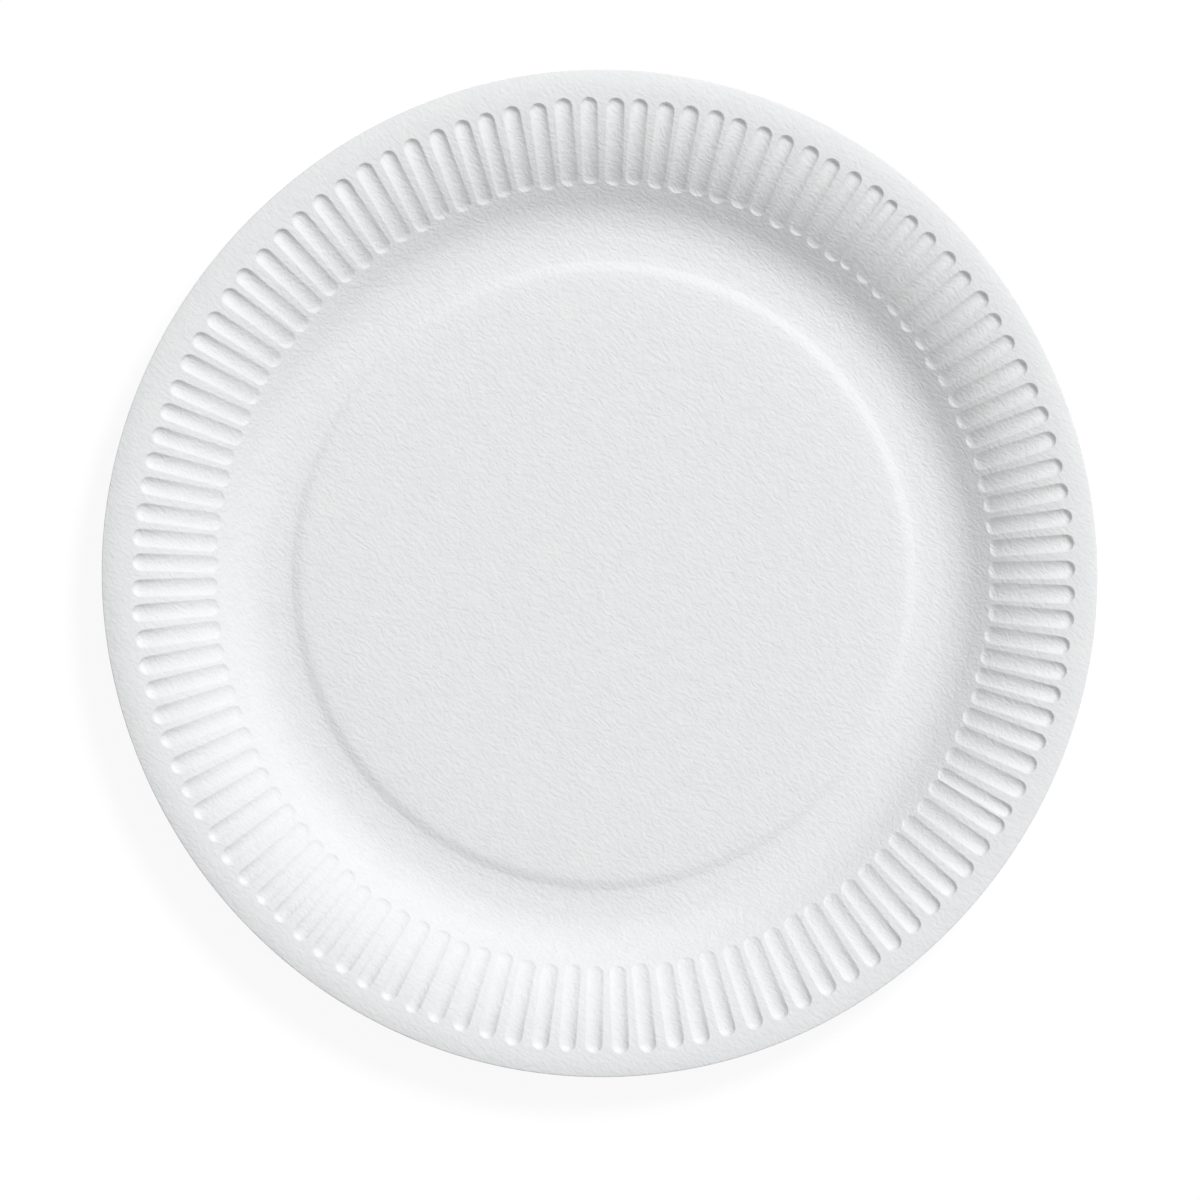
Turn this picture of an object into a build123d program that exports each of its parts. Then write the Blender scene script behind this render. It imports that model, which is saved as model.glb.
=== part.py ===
from build123d import *
import os
from math import cos, radians, sin, tan

# Paper plate: one shell of moulded fibre. A raised panel lies in the middle, a narrow foot ring
# runs round it, and a sloping wall rises into a rim pressed with a ring of radial flutes.
# Millimetres, +Z up. The origin lies on the supporting surface, under the centre of the trimmed edge.

# Overall sizes
plate_diameter = 220.0
plate_height = 14.4
wall = 0.7

# Rim and wall of the upper skin, from the trimmed edge inwards
lip_width = 3.4            # from the crest of the rim out to the trimmed edge
lip_radius = 14.0
lip_end_slope = 20.0       # slope at the end of the pressed skin, which lies outside the trim
crest_radius = 26.0
crest_slope = 9.0          # slope where the crest meets the fluted sweep
sweep_radius = 32.5        # radius of the fluted sweep, seen in section
wall_slope = 39.0
wall_foot_radius = 13.3    # radius where the wall turns into the foot ring

# Foot ring and raised panel of the upper skin
foot_width = 1.6
foot_inner_radius = 18.0   # radius that leads from the foot ring up to the crease
crease_slope = 11.0
crease_radius = 0.8
step_slope = 23.0
step_radius = 9.0
shoulder_slope = 10.0
shoulder_radius = 22.0     # soft shoulder of the raised panel
dome_slope = 3.5
dome_radius = 220.0        # slight dome between the shoulder and the flat middle

# Flutes: recesses with a round section and round ends, which show below as ridges
flute_width = 3.8
flute_depth = 0.6
narrow_width = 2.5         # the flute at each end of the short run is narrower
narrow_depth = 0.5
long_run_pitch = 5.33      # spacing along the middle of the flutes
long_run_start = 54.0      # degrees, counter-clockwise from +X
long_run_end = 327.85
short_run_pitch = 5.17
short_run_start = 330.25
short_run_end = 411.5

# The pressed pattern sits slightly off the centre of the trimmed edge
pattern_shift = 0.9
pattern_heading = -33.0    # degrees, counter-clockwise from +X

# Depth of the solid blocks from which the shell is cut, below the supporting surface
block_depth = 6.0
bar_margin = 0.15          # how far each flute's cutting bar stands out of its skin

trim_radius = plate_diameter / 2
pattern_x = pattern_shift * cos(radians(pattern_heading))
pattern_y = pattern_shift * sin(radians(pattern_heading))
pattern_axis = Pos(pattern_x, pattern_y, 0)


def arc_run(radius, slope_a, slope_b):
    """Horizontal length of an arc between two slopes."""
    return radius * abs(sin(radians(slope_a)) - sin(radians(slope_b)))


def arc_rise(radius, slope_a, slope_b):
    """Change in height along an arc between two slopes."""
    return radius * abs(cos(radians(slope_a)) - cos(radians(slope_b)))


def upper_skin():
    """Stations (radius, height, slope) of the upper skin, from the centre out to the pressed edge."""
    crest_r = trim_radius - lip_width
    crest_z = plate_height
    sweep_top_r = crest_r - arc_run(crest_radius, 0, crest_slope)
    sweep_top_z = crest_z - arc_rise(crest_radius, 0, crest_slope)
    sweep_low_r = sweep_top_r - arc_run(sweep_radius, crest_slope, wall_slope)
    sweep_low_z = sweep_top_z - arc_rise(sweep_radius, crest_slope, wall_slope)
    wall_low_z = wall + arc_rise(wall_foot_radius, 0, wall_slope)
    wall_low_r = sweep_low_r - (sweep_low_z - wall_low_z) / tan(radians(wall_slope))
    foot_outer_r = wall_low_r - arc_run(wall_foot_radius, 0, wall_slope)
    foot_inner_r = foot_outer_r - foot_width
    crease_out_r = foot_inner_r - arc_run(foot_inner_radius, 0, crease_slope)
    crease_out_z = wall + arc_rise(foot_inner_radius, 0, crease_slope)
    crease_in_r = crease_out_r - arc_run(crease_radius, crease_slope, step_slope)
    crease_in_z = crease_out_z + arc_rise(crease_radius, crease_slope, step_slope)
    shoulder_r = crease_in_r - arc_run(step_radius, shoulder_slope, step_slope)
    shoulder_z = crease_in_z + arc_rise(step_radius, shoulder_slope, step_slope)
    dome_r = shoulder_r - arc_run(shoulder_radius, dome_slope, shoulder_slope)
    dome_z = shoulder_z + arc_rise(shoulder_radius, dome_slope, shoulder_slope)
    panel_r = dome_r - arc_run(dome_radius, 0, dome_slope)
    panel_z = dome_z + arc_rise(dome_radius, 0, dome_slope)
    pressed_r = crest_r + arc_run(lip_radius, 0, lip_end_slope)
    pressed_z = crest_z - arc_rise(lip_radius, 0, lip_end_slope)
    return [
        (0, panel_z, 0),
        (panel_r, panel_z, 0),
        (dome_r, dome_z, -dome_slope),
        (shoulder_r, shoulder_z, -shoulder_slope),
        (crease_in_r, crease_in_z, -step_slope),
        (crease_out_r, crease_out_z, -crease_slope),
        (foot_inner_r, wall, 0),
        (foot_outer_r, wall, 0),
        (wall_low_r, wall_low_z, wall_slope),
        (sweep_low_r, sweep_low_z, wall_slope),
        (sweep_top_r, sweep_top_z, crest_slope),
        (crest_r, crest_z, 0),
        (pressed_r, pressed_z, -lip_end_slope),
    ]


skin = upper_skin()
sweep_low = skin[9]
sweep_top = skin[10]


def below(station, depth):
    """The point a given depth under a station of the upper skin, square to the skin."""
    radius, height, slope = station
    if radius == 0:
        return (0, height - depth)
    return (radius + depth * sin(radians(slope)), height - depth * cos(radians(slope)))


def block_under(depth, floor):
    """The solid of revolution under the skin lowered by depth, down to the floor height."""
    edges = []
    for inner, outer in zip(skin, skin[1:]):
        start = below(inner, depth)
        end = below(outer, depth)
        if inner[2] == outer[2]:
            edges.append(Line(start, end))
        else:
            heading = (cos(radians(inner[2])), sin(radians(inner[2])))
            edges.append(TangentArc(start, end, tangent=heading))
    first = below(skin[0], depth)
    last = below(skin[-1], depth)
    edges.append(Line(last, (last[0], floor)))
    edges.append(Line((last[0], floor), (0, floor)))
    edges.append(Line((0, floor), first))
    section = Plane.XZ * make_face(Wire(edges))
    return revolve(section, Axis.Z)


def flute_tube(width, depth, growth):
    """A round bar with ball ends along the fluted sweep, in the +X direction from the pattern's axis."""
    low_r, low_z, low_slope = sweep_low
    top_slope = sweep_top[2]
    section_radius = (width ** 2 / 4 + depth ** 2) / (2 * depth)
    path_radius = sweep_radius + section_radius - depth
    hub_x = low_r + sweep_radius * sin(radians(low_slope))
    hub_z = low_z - sweep_radius * cos(radians(low_slope))

    def on_path(slope, direction):
        at = (hub_x - path_radius * sin(radians(slope)), 0, hub_z + path_radius * cos(radians(slope)))
        along = (direction * cos(radians(slope)), 0, direction * sin(radians(slope)))
        return Plane(origin=at, x_dir=(0, 1, 0), z_dir=along)

    bar_radius = section_radius + growth
    bar = revolve(
        on_path(low_slope, 1) * Circle(bar_radius),
        Axis((hub_x, 0, hub_z), (0, 1, 0)),
        low_slope - top_slope,
    )
    half_ball = Sphere(bar_radius, arc_size1=0, align=(Align.CENTER, Align.CENTER, Align.MIN))
    inner_ball = on_path(low_slope, -1) * half_ball
    outer_ball = on_path(top_slope, 1) * half_ball
    return (bar + inner_ball + outer_ball) & block_under(growth - bar_margin, -block_depth)


def run_headings(start, end, pitch):
    """Even headings from start to end, as near to the pitch as a whole number of steps allows."""
    middle_radius = (sweep_low[0] + sweep_top[0]) / 2
    steps = round(radians(end - start) * middle_radius / pitch)
    return [start + (end - start) * step / steps for step in range(steps + 1)]


def flute_runs(growth):
    """The bars of the long run and of the short run, larger all round by the growth."""
    regular = flute_tube(flute_width, flute_depth, growth)
    narrow = flute_tube(narrow_width, narrow_depth, growth)
    long_run = run_headings(long_run_start, long_run_end, long_run_pitch)
    short_run = run_headings(short_run_start, short_run_end, short_run_pitch)
    long_bars = [Rot(0, 0, heading) * regular for heading in long_run]
    short_bars = [Rot(0, 0, heading) * regular for heading in short_run[1:-1]]
    short_bars.insert(0, Rot(0, 0, short_run[0]) * narrow)
    short_bars.append(Rot(0, 0, short_run[-1]) * narrow)
    return [long_bars, short_bars]


def cut_flutes(block, growth):
    """Take the flutes out of a block, every other one at a time, so that neighbours may overlap."""
    for bars in flute_runs(growth):
        block = block - bars[0::2]
        block = block - bars[1::2]
    return block


def make_plate():
    """The shell: a fluted block, less the ridged block that fills the space under it."""
    trim_height = plate_height + 2 * block_depth
    trim = Plane.XY.offset(-block_depth) * Circle(trim_radius)
    upper_block = pattern_axis * block_under(0, -block_depth) & extrude(trim, trim_height)
    upper = cut_flutes(pattern_axis.inverse() * upper_block, 0)
    lower = cut_flutes(block_under(wall, -2 * block_depth), wall)
    return pattern_axis * (upper - lower)


os.makedirs("parts", exist_ok=True)
plate = make_plate()
plate.label = "plate"
export_step(plate, "parts/plate.step")
print("volume", round(plate.volume), "box", plate.bounding_box())
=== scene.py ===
import random
from math import asin, atan2, cos, pi, radians, sin, sqrt, tan

import bpy
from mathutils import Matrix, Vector


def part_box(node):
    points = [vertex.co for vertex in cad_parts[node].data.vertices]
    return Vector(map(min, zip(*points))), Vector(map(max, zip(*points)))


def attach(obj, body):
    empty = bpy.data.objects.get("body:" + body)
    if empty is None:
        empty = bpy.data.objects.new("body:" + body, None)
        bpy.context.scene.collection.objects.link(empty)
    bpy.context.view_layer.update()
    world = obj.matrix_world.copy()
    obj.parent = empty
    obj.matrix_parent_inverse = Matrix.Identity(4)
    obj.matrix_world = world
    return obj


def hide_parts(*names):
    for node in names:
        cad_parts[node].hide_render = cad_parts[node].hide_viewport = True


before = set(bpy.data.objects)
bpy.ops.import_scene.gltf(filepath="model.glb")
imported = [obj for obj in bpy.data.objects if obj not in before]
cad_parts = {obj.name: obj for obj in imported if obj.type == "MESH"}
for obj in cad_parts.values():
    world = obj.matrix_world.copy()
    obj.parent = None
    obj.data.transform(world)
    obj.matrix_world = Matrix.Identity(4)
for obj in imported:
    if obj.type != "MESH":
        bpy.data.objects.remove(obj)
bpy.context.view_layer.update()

# The looks of a moulded-fibre plate: one closed mesh that rides on the CAD plate and replaces it.
# The skin is close to the CAD's own section, with the small unevenness of a real pressing added.
# Lengths are in millimetres unless their names end in _M. Headings and slopes are in degrees.

plate_low, plate_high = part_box("plate")
random.seed(17)

MM = 0.001
TRIM_RADIUS = (plate_high.x - plate_low.x) / 2 / MM
PLATE_HEIGHT = plate_high.z / MM
WALL = 0.7
EDGE_ROUND = 0.22

# Section of the upper skin, from the trimmed edge inwards
LIP_WIDTH = 3.4
LIP_RADIUS = 14.0
LIP_END_SLOPE = 20.0
CREST_RADIUS = 26.0
CREST_SLOPE = 9.0
SWEEP_RADIUS = 32.5
WALL_SLOPE = 39.0
WALL_FOOT_RADIUS = 13.3
FOOT_WIDTH = 1.6
FOOT_INNER_RADIUS = 18.0
CREASE_SLOPE = 11.0
CREASE_RADIUS = 0.8
STEP_SLOPE = 24.0
STEP_RADIUS = 34.0
STEP_TOP_SLOPE = 21.0
NOSE_RADIUS = 3.0
SHOULDER_SLOPE = 9.0
SHOULDER_RADIUS = 22.0
DOME_SLOPE = 3.5
DOME_RADIUS = 220.0

# Flutes
LONG_RUN = (86, 54.0, 327.85)        # how many, first heading, last heading
SHORT_RUN = (27, 330.25, 411.5)
FLUTE_WIDTH = 3.8
FLUTE_DEPTH = 0.6
NARROW_WIDTH = 3.1
NARROW_DEPTH = 0.55
INNER_DEPTH_SHARE = 0.8              # depth at the inner and outer ends, as shares of the flute's own
OUTER_DEPTH_SHARE = 1.8
DEEPENING_POWER = 3                  # how late along the flute the deepening comes
END_WALL_POWER = 5.0                 # how flat the floor stays up to the steep wall at each end
OUTER_END_SHIFT = 0.15               # how far the outer ends stand beyond the top of the sweep
LAND_MARGIN = 0.12                   # least half-width of the land left between two flutes
LAND_REACH = 0.6                     # how far the rings beside a flute reach into the land

# Slow drift of the flutes round the rim, and how unlike each other they are
DRIFT_MEAN = -0.73
DRIFT_WAVES = [(1, 0.68, 24.0), (2, 0.29, -48.0), (3, 0.39, 51.0), (4, 0.25, -42.0)]    # count, size, heading
HEADING_SPREAD = 0.12
WIDTH_SPREAD = 0.05                  # as shares
DEPTH_SPREAD = 0.08
INNER_END_SPREAD = 0.35
OUTER_END_SPREAD = 0.2
LEAN_SPREAD = 0.004                  # sideways run for each millimetre of length
MIDDLE_RADIUS = 95.0                 # where a leaning flute keeps its heading

# The pressed pattern sits off the centre of the trimmed edge
PATTERN_X = 0.9 * cos(radians(-33.0))
PATTERN_Y = 0.9 * sin(radians(-33.0))

# The rim is a little out of round, and the trimmed edge wavers
RIM_OVAL = 0.0064
PANEL_OVAL = 0.0032
OVAL_BLEND = 20.0                    # the oval grows over this width, from the step out
EDGE_WAVES = [(3, 0.001, -54.0), (4, 0.0019, -4.0), (6, 0.0006, -6.0)]    # count, share of radius, heading

# How finely the mesh is cut
SIDE_POINTS = 13
CAP_POINTS = 7
CAP_STEP = 22.5
INNER_END_ROOM = 2.5                 # from the flutes' end centres to the rows beyond them
OUTER_END_ROOM = 3.2
FIRST_ROW_STEP = 0.7
UPPER_RINGS = (0.34, 0.62, 0.84, 0.97, 1.07, 1.4)
UNDER_RINGS = (0.5, 0.85, 1.0, 1.3)
UPPER_BAND = (0.16, 0.32, 0.48, 0.62, 0.75, 0.86, 0.94, 1.0)
UNDER_BAND = (0.25, 0.5, 0.75, 1.0)
UPPER_SPACING = (0.75, 0.33)         # rows on the wall, rows on the step
UNDER_SPACING = (1.3, 0.9)
DOME_SPACING = 3.5
PANEL_ROWS = [40, 25, 10]

# Pulp: a felted grain, drawn out along one heading, and a broader unevenness
GRAIN_SCALE = 1300.0
GRAIN_DEPTH_M = 0.00021
STREAK_HEADING = -39.0
STREAK_STRETCH = 1.8
SWIRL_SCALE = 420.0
SWIRL_REACH_M = 0.0016
BAND_GRAIN = 0.75                    # grain left on the plain band, as a share
BAND_START_M = 0.100
BAND_FULL_M = 0.106
SWELL_SCALE = 150.0
SWELL_DEPTH_M = 0.0001
MOTTLE_SCALE = 320.0
DARK_PULP = (0.788, 0.794, 0.806, 1)
LIGHT_PULP = (0.813, 0.819, 0.822, 1)
PULP_ROUGHNESS = 0.85
PULP_SPECULAR = 0.2

# Floor, sky, key light and camera
WHITE = (1, 1, 1, 1)
FLOOR_HALF_M = 3.0
FLOOR_DROP = 0.05                    # keeps the floor clear of the plate's flat foot
FLOOR_PAINT = (0.8, 0.8, 0.8, 1)
SEEN_FLOOR_PAINT = (0.12, 0.12, 0.12, 1)
SEEN_FLOOR_GLOW = 0.9
SKY_STRENGTH = 0.41
KEY_HEADING = 50.0
KEY_ELEVATION = 50.0
KEY_DISTANCE_M = 6.0
KEY_SIZE_M = 1.8
KEY_LEVEL = 0.58                     # brightness that the key alone gives a level white surface
CAMERA_DISTANCE_M = 2.5
CAMERA_REACH_M = 20
SENSOR_WIDTH = 36
VIEW_WIDTH = 264.0                   # across the picture, at the height of the rim
VIEW_DROP = 5.83                     # the plate stands this far above the middle of the picture


def arc_run(radius, slope_a, slope_b):
    """Horizontal length of an arc between two slopes."""
    return radius * abs(sin(radians(slope_a)) - sin(radians(slope_b)))


def arc_rise(radius, slope_a, slope_b):
    """Change in height along an arc between two slopes."""
    return radius * abs(cos(radians(slope_a)) - cos(radians(slope_b)))


def upper_skin():
    """Stations (radius, height, slope) of the upper skin, from the centre out."""
    lip_r = TRIM_RADIUS - LIP_WIDTH
    lip_z = PLATE_HEIGHT
    top_r = lip_r - arc_run(CREST_RADIUS, 0, CREST_SLOPE)
    top_z = lip_z - arc_rise(CREST_RADIUS, 0, CREST_SLOPE)
    low_r = top_r - arc_run(SWEEP_RADIUS, CREST_SLOPE, WALL_SLOPE)
    low_z = top_z - arc_rise(SWEEP_RADIUS, CREST_SLOPE, WALL_SLOPE)
    wall_z = WALL + arc_rise(WALL_FOOT_RADIUS, 0, WALL_SLOPE)
    wall_r = low_r - (low_z - wall_z) / tan(radians(WALL_SLOPE))
    foot_r = wall_r - arc_run(WALL_FOOT_RADIUS, 0, WALL_SLOPE)
    end_r = lip_r + arc_run(LIP_RADIUS, 0, LIP_END_SLOPE)
    end_z = lip_z - arc_rise(LIP_RADIUS, 0, LIP_END_SLOPE)
    stations = [
        (end_r, end_z, -LIP_END_SLOPE),
        (lip_r, lip_z, 0),
        (top_r, top_z, CREST_SLOPE),
        (low_r, low_z, WALL_SLOPE),
        (wall_r, wall_z, WALL_SLOPE),
        (foot_r, WALL, 0),
        (foot_r - FOOT_WIDTH, WALL, 0),
    ]
    climb = [
        (FOOT_INNER_RADIUS, CREASE_SLOPE),
        (CREASE_RADIUS, STEP_SLOPE),
        (STEP_RADIUS, STEP_TOP_SLOPE),
        (NOSE_RADIUS, SHOULDER_SLOPE),
        (SHOULDER_RADIUS, DOME_SLOPE),
        (DOME_RADIUS, 0),
    ]
    for radius, slope in climb:
        last_r, last_z, last_slope = stations[-1]
        here_r = last_r - arc_run(radius, -slope, last_slope)
        here_z = last_z + arc_rise(radius, -slope, last_slope)
        stations.append((here_r, here_z, -slope))
    stations.append((0, stations[-1][1], 0))
    return stations[::-1]


SKIN = upper_skin()
CENTRE, PANEL_EDGE, DOME_EDGE, SHOULDER_EDGE, STEP_TOP, STEP_FOOT, CREASE = SKIN[:7]
FOOT_INNER, FOOT_OUTER, WALL_FOOT, SWEEP_LOW, SWEEP_TOP, CREST, LIP_END = SKIN[7:]


def skin_at(radius):
    """Height and slope, in radians, of the upper skin at a radius from the pattern's centre."""
    for inner, outer in zip(SKIN, SKIN[1:]):
        if radius <= outer[0]:
            break
    sine_in = sin(radians(inner[2]))
    sine_out = sin(radians(outer[2]))
    share = (radius - inner[0]) / (outer[0] - inner[0])
    slope = asin(sine_in + (sine_out - sine_in) * share)
    if abs(sine_out - sine_in) < 1e-9:
        return inner[1] + (radius - inner[0]) * tan(slope), slope
    arc = (outer[0] - inner[0]) / (sine_out - sine_in)
    return inner[1] + arc * (cos(radians(inner[2])) - cos(slope)), slope


def waves_at(waves, heading):
    """Sum of waves round the plate, each (count, size, heading of a peak), at a heading in radians."""
    return sum(size * cos(count * (heading - radians(peak))) for count, size, peak in waves)


def edge_radius(heading):
    """Distance from the pattern's centre out to the trimmed edge."""
    along = PATTERN_X * cos(heading) + PATTERN_Y * sin(heading)
    across = PATTERN_X ** 2 + PATTERN_Y ** 2 - along ** 2
    return sqrt(TRIM_RADIUS ** 2 - across) * (1 + waves_at(EDGE_WAVES, heading)) - along


def place(radius, heading, sink):
    """The point, in metres, at a radius and heading, sunk square to the skin."""
    height, slope = skin_at(radius)
    reach = radius + sink * sin(slope)
    blend = min(max((radius - STEP_FOOT[0]) / OVAL_BLEND, 0), 1)
    oval = PANEL_OVAL + (RIM_OVAL - PANEL_OVAL) * blend
    x = reach * cos(heading) * (1 - oval) + PATTERN_X
    y = reach * sin(heading) * (1 + oval) + PATTERN_Y
    return (x * MM, y * MM, (height - sink * cos(slope)) * MM)


def either_way(spread):
    """A random number between minus and plus the spread."""
    return random.uniform(-spread, spread)


class Flute:
    """One flute: its heading, half-width, depth, and where its round ends are centred."""

    def __init__(self, heading, width, depth):
        drift = DRIFT_MEAN + waves_at(DRIFT_WAVES, radians(heading))
        self.heading = radians(heading + drift + either_way(HEADING_SPREAD))
        self.half = width / 2 * (1 + either_way(WIDTH_SPREAD))
        self.depth = depth * (1 + either_way(DEPTH_SPREAD))
        self.inner = SWEEP_LOW[0] + either_way(INNER_END_SPREAD)
        self.outer = SWEEP_TOP[0] + OUTER_END_SHIFT + either_way(OUTER_END_SPREAD)
        self.lean = either_way(LEAN_SPREAD)

    def depth_at(self, radius):
        """Depth of the floor below the lands: the flute deepens towards its outer end."""
        share = min(max((radius - self.inner) / (self.outer - self.inner), 0), 1)
        gain = (OUTER_DEPTH_SHARE - INNER_DEPTH_SHARE) * share ** DEEPENING_POWER
        return self.depth * (INNER_DEPTH_SHARE + gain)

    def shift_at(self, radius):
        """Sideways shift of the spine where the flute leans."""
        return self.lean * (radius - MIDDLE_RADIUS)

    def along(self, step):
        """Radius at a share of the way from the inner end's centre to the outer end's."""
        return self.inner + (self.outer - self.inner) * step


def make_flutes():
    """Every flute in order of heading: two evenly pitched runs, the short one ending in narrow flutes."""
    flutes = []
    for count, start, end in (LONG_RUN, SHORT_RUN):
        for step in range(count):
            heading = start + (end - start) * step / (count - 1)
            narrow = count == SHORT_RUN[0] and step in (0, count - 1)
            width, depth = (NARROW_WIDTH, NARROW_DEPTH) if narrow else (FLUTE_WIDTH, FLUTE_DEPTH)
            flutes.append(Flute(heading, width, depth))
    return flutes


FLUTES = make_flutes()
SIDE_STEPS = [step / (SIDE_POINTS - 1) for step in range(SIDE_POINTS)]
SIDE_RADII = [SWEEP_LOW[0] + (SWEEP_TOP[0] - SWEEP_LOW[0]) * step for step in SIDE_STEPS]
CAP_ANGLES = [radians(CAP_STEP * ((CAP_POINTS - 1) / 2 - step)) for step in range(CAP_POINTS)]
BAND_INNER = SWEEP_LOW[0] - INNER_END_ROOM
BAND_OUTER = SWEEP_TOP[0] + OUTER_END_ROOM


def land_line(index):
    """The middle of the land after a flute: its heading and half-width at a radius, as a function."""
    here = FLUTES[index]
    after = FLUTES[(index + 1) % len(FLUTES)]

    def at(radius):
        start = here.heading + (here.half + here.shift_at(radius)) / radius
        turn = (after.heading - here.heading) % (2 * pi)
        end = here.heading + turn - (after.half - after.shift_at(radius)) / radius
        return (start + end) / 2, (end - start) / 2 * radius
    return at


LAND_LINES = [land_line(index) for index in range(len(FLUTES))]


def quads(inner, outer):
    """Faces between two closed rows of the same length, counter-clockwise seen from above."""
    count = len(inner)
    return [(inner[here], outer[here], outer[(here + 1) % count], inner[(here + 1) % count])
            for here in range(count)]


class Skin:
    """One skin of the plate: vertices, and faces wound to look up; depth is how far it lies under the top."""

    def __init__(self, depth, ring_shares, band_rows, inner_rows):
        self.depth = depth
        self.ring_shares = ring_shares
        self.points = []
        self.faces = []
        row_out, row_in = self.fluted()
        self.outer_edge = self.band(row_out, band_rows)
        self.middle(row_in, inner_rows)

    def add(self, radius, heading, sink=0.0):
        self.points.append(place(radius, heading, sink + self.depth))
        return len(self.points) - 1

    def fluted(self):
        """A cell round each flute, bounded by land lines. Returns the rows outside and inside the flutes."""
        lands = [[self.add(radius, line(radius)[0]) for radius in SIDE_RADII] for line in LAND_LINES]
        corners_out = [self.add(BAND_OUTER, line(BAND_OUTER)[0]) for line in LAND_LINES]
        corners_in = [self.add(BAND_INNER, line(BAND_INNER)[0]) for line in LAND_LINES]
        row_out = []
        row_in = []
        for index, flute in enumerate(FLUTES):
            before = index - 1
            mids_out = self.between(BAND_OUTER, index)
            mids_in = self.between(BAND_INNER, index)
            row_out += [corners_out[before]] + mids_out
            row_in += [corners_in[before]] + mids_in
            boundary = lands[index] + [corners_out[index]] + mids_out[::-1] + [corners_out[before]]
            boundary += lands[before][::-1] + [corners_in[before]] + mids_in + [corners_in[index]]
            self.flute_cell(flute, index, boundary)
        return row_out, row_in

    def between(self, radius, index):
        """The points between two land lines on a row beside the flutes' ends."""
        start = LAND_LINES[index - 1](radius)[0]
        turn = (LAND_LINES[index](radius)[0] - start) % (2 * pi)
        parts = CAP_POINTS - 1
        return [self.add(radius, start + turn * part / parts) for part in range(1, parts)]

    def flute_cell(self, flute, index, boundary):
        """Rings round a flute's spine, from its floor out to the boundary of its cell."""
        radii = [flute.along(step) for step in SIDE_STEPS]
        spine = [self.add(radius, flute.heading + flute.shift_at(radius) / radius, flute.depth_at(radius))
                 for radius in radii]
        rings = [self.ring(flute, index, share) for share in self.ring_shares] + [boundary]
        first = rings[0]
        outer_cap = SIDE_POINTS - 1
        return_side = SIDE_POINTS + CAP_POINTS
        inner_cap = return_side + SIDE_POINTS - 1
        faces = []
        for step in range(SIDE_POINTS - 1):
            back = inner_cap - step
            faces.append((spine[step], first[step], first[step + 1], spine[step + 1]))
            faces.append((first[back], spine[step], spine[step + 1], first[back - 1]))
        for step in range(CAP_POINTS + 1):
            here = inner_cap + step
            faces.append((spine[-1], first[outer_cap + step], first[outer_cap + step + 1]))
            faces.append((spine[0], first[here], first[(here + 1) % len(first)]))
        for inner, outer in zip(rings, rings[1:]):
            faces += quads(inner, outer)
        self.faces += [face[::-1] for face in faces]

    def ring(self, flute, index, share):
        """One closed ring round a flute; a share above 1 counts into the land beside it."""
        ids = []
        for way, end in ((1, flute.outer), (-1, flute.inner)):
            for step in SIDE_STEPS[::way]:
                ids.append(self.ring_point(flute, index, flute.along(step), way, 0, share))
            foreshorten = cos(skin_at(end)[1])
            for angle in CAP_ANGLES:
                side = sin(angle) * way
                reach = cos(angle) * way * foreshorten
                ids.append(self.ring_point(flute, index, end, side, reach, share))
        return ids

    def ring_point(self, flute, index, centre, side, reach, share):
        """A point of a ring: side is -1 to 1 across the flute, reach the same along it."""
        depth = flute.depth_at(centre)
        section = (flute.half ** 2 + depth ** 2) / (2 * depth)
        rise = section - depth + self.depth
        half = sqrt((section + self.depth) ** 2 - rise ** 2)
        line = LAND_LINES[index] if side > 0 else LAND_LINES[index - 1]
        land_half = line(centre)[1]
        half = min(half, flute.half + land_half - LAND_MARGIN)
        if share <= 1:
            distance = half * share
            sink = sqrt((section + self.depth) ** 2 - distance ** 2) - rise
            sink += (depth * (1 - share ** END_WALL_POWER) - sink) * abs(reach)
        else:
            land = max(min(land_half - half + flute.half, LAND_REACH), LAND_MARGIN)
            distance = half + land * (share - 1)
            sink = 0.0
        radius = centre + reach * distance
        heading = flute.heading + (side * distance + flute.shift_at(radius)) / centre
        return self.add(radius, heading, sink)

    def band(self, row, shares):
        """Rows from the flutes' outer ends out to the trimmed edge. Returns the last row."""
        headings = [self.heading_of(point) for point in row]
        limits = [edge_radius(heading) - EDGE_ROUND for heading in headings]
        last = row
        for share in shares:
            line = [self.add(BAND_OUTER + (limit - BAND_OUTER) * share, heading)
                    for heading, limit in zip(headings, limits)]
            self.faces += quads(last, line)
            last = line
        return last

    def heading_of(self, index):
        """Heading of a point about the pattern's centre, with the rim's oval taken out."""
        x, y, z = self.points[index]
        return atan2((y / MM - PATTERN_Y) / (1 + RIM_OVAL), (x / MM - PATTERN_X) / (1 - RIM_OVAL))

    def middle(self, row, radii):
        """Rows from the flutes' inner ends in to the centre, with half as many points in each."""
        headings = [self.heading_of(point) for point in row[::2]]
        first = [self.add(radii[0], heading) for heading in headings]
        size = len(first)
        for here in range(size):
            after = (here + 1) % size
            left = row[2 * here]
            mid = row[2 * here + 1]
            right = row[2 * after]
            self.faces.append((first[here], left, mid))
            self.faces.append((first[here], mid, first[after]))
            self.faces.append((first[after], mid, right))
        last = first
        for radius in radii[1:]:
            line = [self.add(radius, heading) for heading in headings]
            self.faces += quads(line, last)
            last = line
        hub = self.add(0, 0)
        for here in range(size):
            self.faces.append((hub, last[here], last[(here + 1) % size]))


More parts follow.
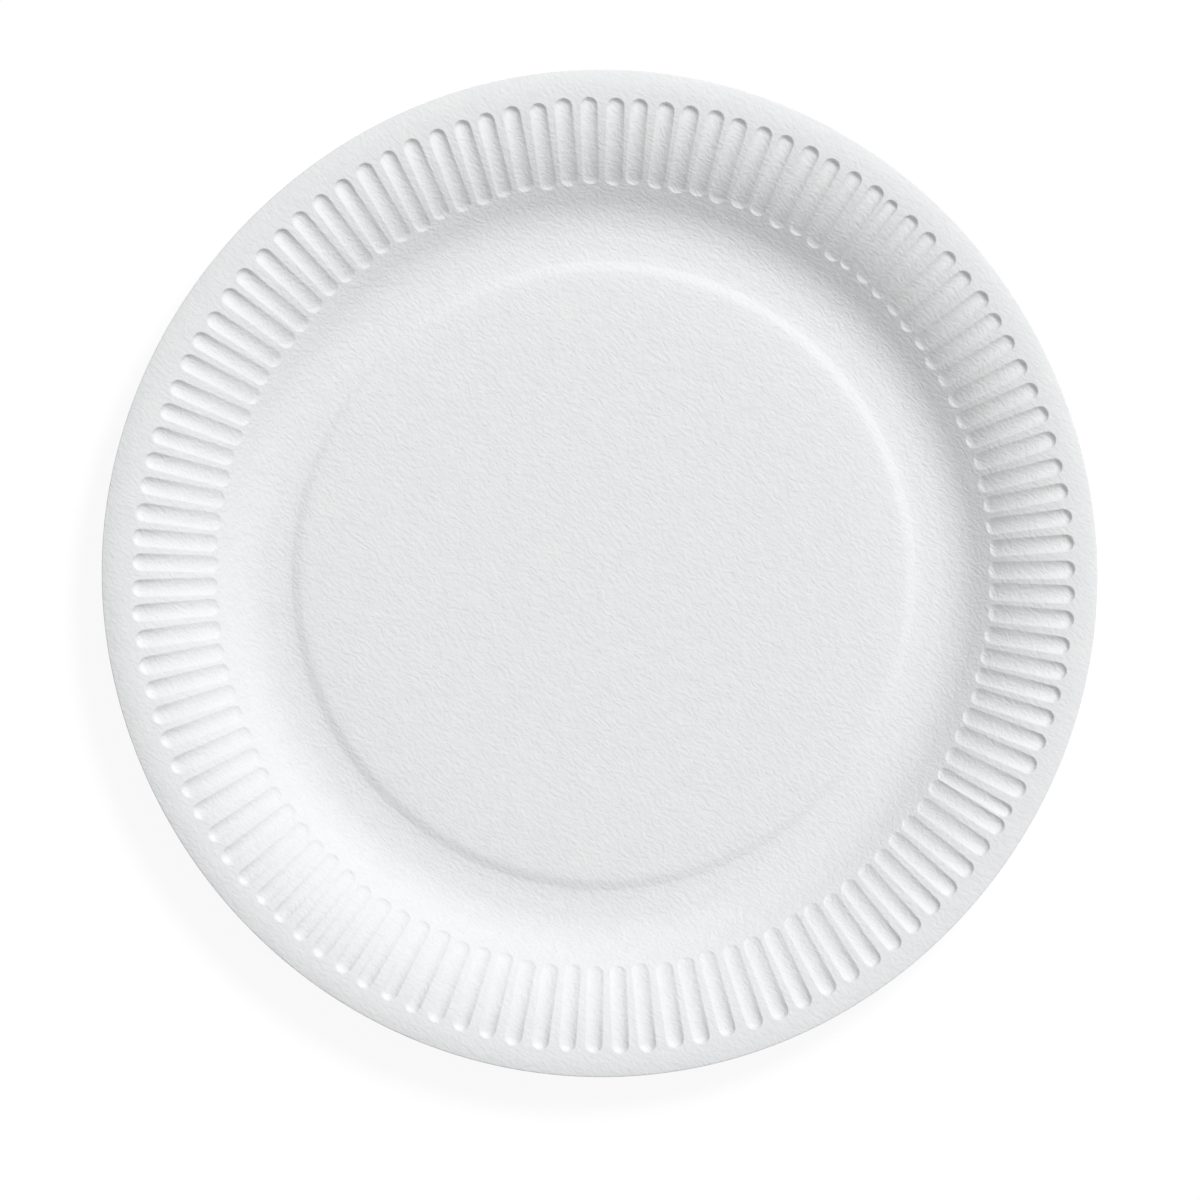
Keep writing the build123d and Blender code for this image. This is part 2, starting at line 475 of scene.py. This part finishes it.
def inner_radii(wall_spacing, step_spacing):
    """Radii of the rows from the flutes in to the centre, close together where the section bends most."""
    bends = [WALL_FOOT, FOOT_OUTER, FOOT_INNER, CREASE, STEP_FOOT, STEP_TOP, SHOULDER_EDGE, DOME_EDGE]
    stops = [BAND_INNER - FIRST_ROW_STEP] + [bend[0] for bend in bends]
    radii = []
    for outer, inner in zip(stops, stops[1:] + [PANEL_EDGE[0]]):
        if inner < DOME_EDGE[0]:
            spacing = DOME_SPACING
        elif inner < FOOT_INNER[0]:
            spacing = step_spacing
        else:
            spacing = wall_spacing
        steps = max(1, round((outer - inner) / spacing))
        radii += [outer + (inner - outer) * step / steps for step in range(steps)]
    return radii + [PANEL_EDGE[0]] + PANEL_ROWS


def edge_row(points, high, low, angle, side):
    """A row of the rounded edge: out from the upper row (side 1) or the lower one (side -1)."""
    ids = []
    for high_id, low_id in zip(high, low):
        high_at = Vector(points[high_id])
        base = high_at if side == 1 else Vector(points[low_id])
        out = Vector((high_at.x, high_at.y, 0)).normalized()
        reach = EDGE_ROUND * MM * sin(radians(angle))
        drop = EDGE_ROUND * MM * (1 - cos(radians(angle)))
        points.append(tuple(base + out * reach - Vector((0, 0, drop * side))))
        ids.append(len(points) - 1)
    return ids


def plate_mesh():
    """The closed mesh of the plate: both skins and the rounded edge that joins them."""
    upper = Skin(0.0, UPPER_RINGS, UPPER_BAND, inner_radii(*UPPER_SPACING))
    under = Skin(WALL, UNDER_RINGS, UNDER_BAND, inner_radii(*UNDER_SPACING))
    shift = len(upper.points)
    points = upper.points + under.points
    faces = list(upper.faces)
    faces += [tuple(shift + index for index in face[::-1]) for face in under.faces]
    high = upper.outer_edge
    low = [shift + index for index in under.outer_edge]
    rows = [high]
    for angle, side in ((45, 1), (90, 1), (90, -1), (45, -1)):
        rows.append(edge_row(points, high, low, angle, side))
    rows.append(low)
    for inner, outer in zip(rows, rows[1:]):
        faces += quads(inner, outer)
    mesh = bpy.data.meshes.new("plate_shell")
    mesh.from_pydata(points, [], faces)
    mesh.validate()
    mesh.shade_smooth()
    return mesh


def fresh_tree(owner):
    """The emptied node tree of a material or world."""
    owner.use_nodes = True
    owner.node_tree.nodes.clear()
    return owner.node_tree


def node(tree, kind, **inputs):
    """A shader node, its sockets set or linked by name, with _ for a space."""
    made = tree.nodes.new(kind)
    for name, value in inputs.items():
        socket = made.inputs[name.replace("_", " ")]
        if isinstance(value, bpy.types.NodeSocket):
            tree.links.new(value, socket)
        else:
            socket.default_value = value
    return made


def camera_split(tree, plain, seen):
    """Gives the camera's own rays one shader, and all other rays the plain one."""
    path = tree.nodes.new("ShaderNodeLightPath")
    mix = tree.nodes.new("ShaderNodeMixShader")
    tree.links.new(path.outputs["Is Camera Ray"], mix.inputs[0])
    tree.links.new(plain.outputs[0], mix.inputs[1])
    tree.links.new(seen.outputs[0], mix.inputs[2])
    return mix.outputs[0]


def felt_height(tree, where):
    """Height of the felted grain: noise bent by a finer swirl, and drawn out along the streaks."""
    swirl = node(tree, "ShaderNodeTexNoise", Vector=where, Scale=SWIRL_SCALE, Detail=1.0)
    bend = tree.nodes.new("ShaderNodeVectorMath")
    bend.operation = "MULTIPLY_ADD"
    tree.links.new(swirl.outputs["Color"], bend.inputs[0])
    bend.inputs[1].default_value = (SWIRL_REACH_M, SWIRL_REACH_M, SWIRL_REACH_M)
    tree.links.new(where, bend.inputs[2])
    streak = tree.nodes.new("ShaderNodeMapping")
    streak.vector_type = "TEXTURE"
    tree.links.new(bend.outputs[0], streak.inputs["Vector"])
    streak.inputs["Rotation"].default_value = (0, 0, radians(STREAK_HEADING))
    streak.inputs["Scale"].default_value = (STREAK_STRETCH, 1.0, 1.0)
    felt = node(tree, "ShaderNodeTexNoise", Vector=streak.outputs[0], Scale=GRAIN_SCALE, Detail=2.0,
                Roughness=0.5)
    return felt.outputs["Fac"]


def grain_strength(tree, where):
    """Full grain on the dish, and less of it on the plain band outside the flutes."""
    span = tree.nodes.new("ShaderNodeVectorMath")
    span.operation = "LENGTH"
    tree.links.new(where, span.inputs[0])
    fade = node(tree, "ShaderNodeMapRange", Value=span.outputs["Value"], From_Min=BAND_START_M,
                From_Max=BAND_FULL_M, To_Min=1.0, To_Max=BAND_GRAIN)
    return fade.outputs["Result"]


def pulp_colour(tree, where):
    """Faint mottling between two near whites."""
    mottle = node(tree, "ShaderNodeTexNoise", Vector=where, Scale=MOTTLE_SCALE, Detail=3.0)
    tint = node(tree, "ShaderNodeValToRGB", Fac=mottle.outputs["Fac"])
    dark, light = tint.color_ramp.elements
    dark.position = 0.3
    dark.color = DARK_PULP
    light.position = 0.7
    light.color = LIGHT_PULP
    return tint.outputs["Color"]


def pulp_material():
    """White moulded fibre: matt, with a felted grain, a broader unevenness and faint mottling."""
    material = bpy.data.materials.new("pulp")
    tree = fresh_tree(material)
    where = tree.nodes.new("ShaderNodeTexCoord").outputs["Object"]
    swell = node(tree, "ShaderNodeTexNoise", Vector=where, Scale=SWELL_SCALE, Detail=2.0)
    fine = node(tree, "ShaderNodeBump", Strength=grain_strength(tree, where), Distance=GRAIN_DEPTH_M,
                Height=felt_height(tree, where))
    broad = node(tree, "ShaderNodeBump", Strength=1.0, Distance=SWELL_DEPTH_M,
                 Height=swell.outputs["Fac"], Normal=fine.outputs["Normal"])
    shader = node(tree, "ShaderNodeBsdfPrincipled", Base_Color=pulp_colour(tree, where),
                  Roughness=PULP_ROUGHNESS, Normal=broad.outputs["Normal"])
    shader.inputs["Specular IOR Level"].default_value = PULP_SPECULAR
    node(tree, "ShaderNodeOutputMaterial", Surface=shader.outputs["BSDF"])
    return material


def make_plate():
    plate = bpy.data.objects.new("moulded_plate", plate_mesh())
    bpy.context.scene.collection.objects.link(plate)
    plate.data.materials.append(pulp_material())
    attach(plate, "root")
    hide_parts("plate")


def floor_material():
    """A pale floor: the camera sees it near white, and it keeps the plate's soft shadow."""
    material = bpy.data.materials.new("floor_white")
    tree = fresh_tree(material)
    paint = node(tree, "ShaderNodeBsdfDiffuse", Color=FLOOR_PAINT)
    seen_paint = node(tree, "ShaderNodeBsdfDiffuse", Color=SEEN_FLOOR_PAINT)
    glow = node(tree, "ShaderNodeEmission", Strength=SEEN_FLOOR_GLOW)
    seen = tree.nodes.new("ShaderNodeAddShader")
    tree.links.new(seen_paint.outputs[0], seen.inputs[0])
    tree.links.new(glow.outputs[0], seen.inputs[1])
    node(tree, "ShaderNodeOutputMaterial", Surface=camera_split(tree, paint, seen))
    return material


def make_floor():
    half = FLOOR_HALF_M
    low = -FLOOR_DROP * MM
    mesh = bpy.data.meshes.new("floor")
    corners = [(-half, -half, low), (half, -half, low), (half, half, low), (-half, half, low)]
    mesh.from_pydata(corners, [], [(0, 1, 2, 3)])
    floor = bpy.data.objects.new("floor", mesh)
    bpy.context.scene.collection.objects.link(floor)
    floor.data.materials.append(floor_material())


def make_world():
    """Even white light from all round, and a white background for the camera."""
    world = bpy.data.worlds.new("studio")
    bpy.context.scene.world = world
    tree = fresh_tree(world)
    soft = node(tree, "ShaderNodeBackground", Color=WHITE, Strength=SKY_STRENGTH)
    white = node(tree, "ShaderNodeBackground", Color=WHITE, Strength=1.0)
    node(tree, "ShaderNodeOutputWorld", Surface=camera_split(tree, soft, white))


def make_key():
    """The soft box, far enough off to light the whole plate evenly."""
    light = bpy.data.lights.new("key", "AREA")
    light.shape = "DISK"
    light.size = KEY_SIZE_M
    light.energy = KEY_LEVEL * (pi * KEY_DISTANCE_M) ** 2 / sin(radians(KEY_ELEVATION))
    key = bpy.data.objects.new("key", light)
    heading = radians(KEY_HEADING)
    flat = cos(radians(KEY_ELEVATION))
    toward = Vector((cos(heading) * flat, sin(heading) * flat, sin(radians(KEY_ELEVATION))))
    key.location = toward * KEY_DISTANCE_M
    key.rotation_euler = toward.to_track_quat("Z", "Y").to_euler()
    bpy.context.scene.collection.objects.link(key)


def make_camera():
    """Straight down from a long way off, as the photograph shows no perspective."""
    data = bpy.data.cameras.new("camera")
    data.sensor_width = SENSOR_WIDTH
    data.lens = SENSOR_WIDTH * (CAMERA_DISTANCE_M - PLATE_HEIGHT * MM) / (VIEW_WIDTH * MM)
    data.clip_end = CAMERA_REACH_M
    camera = bpy.data.objects.new("camera", data)
    camera.location = (0, -VIEW_DROP * MM, CAMERA_DISTANCE_M)
    bpy.context.scene.collection.objects.link(camera)
    bpy.context.scene.camera = camera


make_plate()
make_floor()
make_world()
make_key()
make_camera()
bpy.context.scene.view_settings.view_transform = "Standard"
